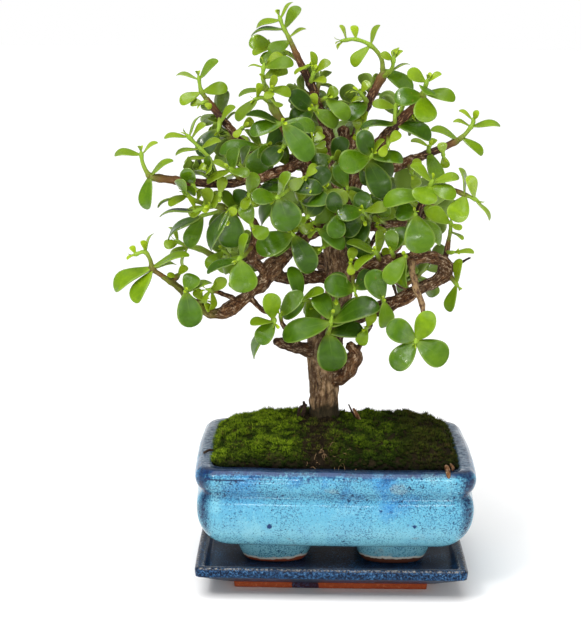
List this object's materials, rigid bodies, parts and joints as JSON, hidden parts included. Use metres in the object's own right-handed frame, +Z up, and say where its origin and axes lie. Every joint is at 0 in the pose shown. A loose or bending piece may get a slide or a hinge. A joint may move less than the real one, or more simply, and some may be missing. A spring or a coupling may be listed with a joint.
{
  "type": "potted bonsai",
  "caption": "Elephant bush bonsai: branched trunk with thick rounded leaves, in a glazed rectangular pot with feet, on a matching saucer.",
  "frame": {"origin": "centre of the saucer's flat underside, on the surface that it stands on, under the middle of the pot", "axes": "+Z up, along the trunk; -Y towards the front of the pot, one of its two long sides; +X to the right as seen from the front"},
  "size_m": [0.2217, 0.1634, 0.3306],
  "materials": {
    "light_blue_glaze": "glossy speckled sky-blue glaze",
    "dark_blue_glaze": "glossy navy glaze over terracotta",
    "soil_and_moss": "damp moss and soil",
    "screen_plastic": "matt black",
    "bark": "rough fissured bark",
    "leaf_green": "waxy succulent leaves"
  },
  "bodies": {
    "root": {"drain_screen_left": "screen_plastic", "drain_screen_right": "screen_plastic", "pot": "light_blue_glaze", "saucer": "dark_blue_glaze", "shoot_09": "leaf_green", "shoot_10": "leaf_green", "shoot_11": "leaf_green", "shoot_12": "leaf_green", "shoot_15": "leaf_green", "shoot_16": "leaf_green", "shoot_17": "leaf_green", "shoot_18": "leaf_green", "shoot_19": "leaf_green", "shoot_20": "leaf_green", "shoot_21": "leaf_green", "shoot_22": "leaf_green", "shoot_23": "leaf_green", "shoot_24": "leaf_green", "shoot_28": "leaf_green", "shoot_29": "leaf_green", "shoot_39": "leaf_green", "shoot_47": "leaf_green", "shoot_48": "leaf_green", "shoot_49": "leaf_green", "shoot_50": "leaf_green", "shoot_51": "leaf_green", "shoot_52": "leaf_green", "shoot_53": "leaf_green", "shoot_54": "leaf_green", "shoot_55": "leaf_green", "shoot_56": "leaf_green", "shoot_57": "leaf_green", "shoot_58": "leaf_green", "shoot_59": "leaf_green", "shoot_60": "leaf_green", "shoot_61": "leaf_green", "shoot_62": "leaf_green", "shoot_63": "leaf_green", "shoot_64": "leaf_green", "shoot_65": "leaf_green", "soil": "soil_and_moss", "spray_far_left": "leaf_green", "spray_far_right": "leaf_green", "spray_high_left": "leaf_green", "spray_high_right": "leaf_green", "spray_leader_left": "leaf_green", "spray_leader_right": "leaf_green", "spray_mid_left": "leaf_green", "spray_right_end": "leaf_green", "spray_right_rise": "leaf_green", "spray_rise_left": "leaf_green", "spray_rise_spur": "leaf_green", "trunk_and_limbs": "bark"}
  },
  "joints": []
}
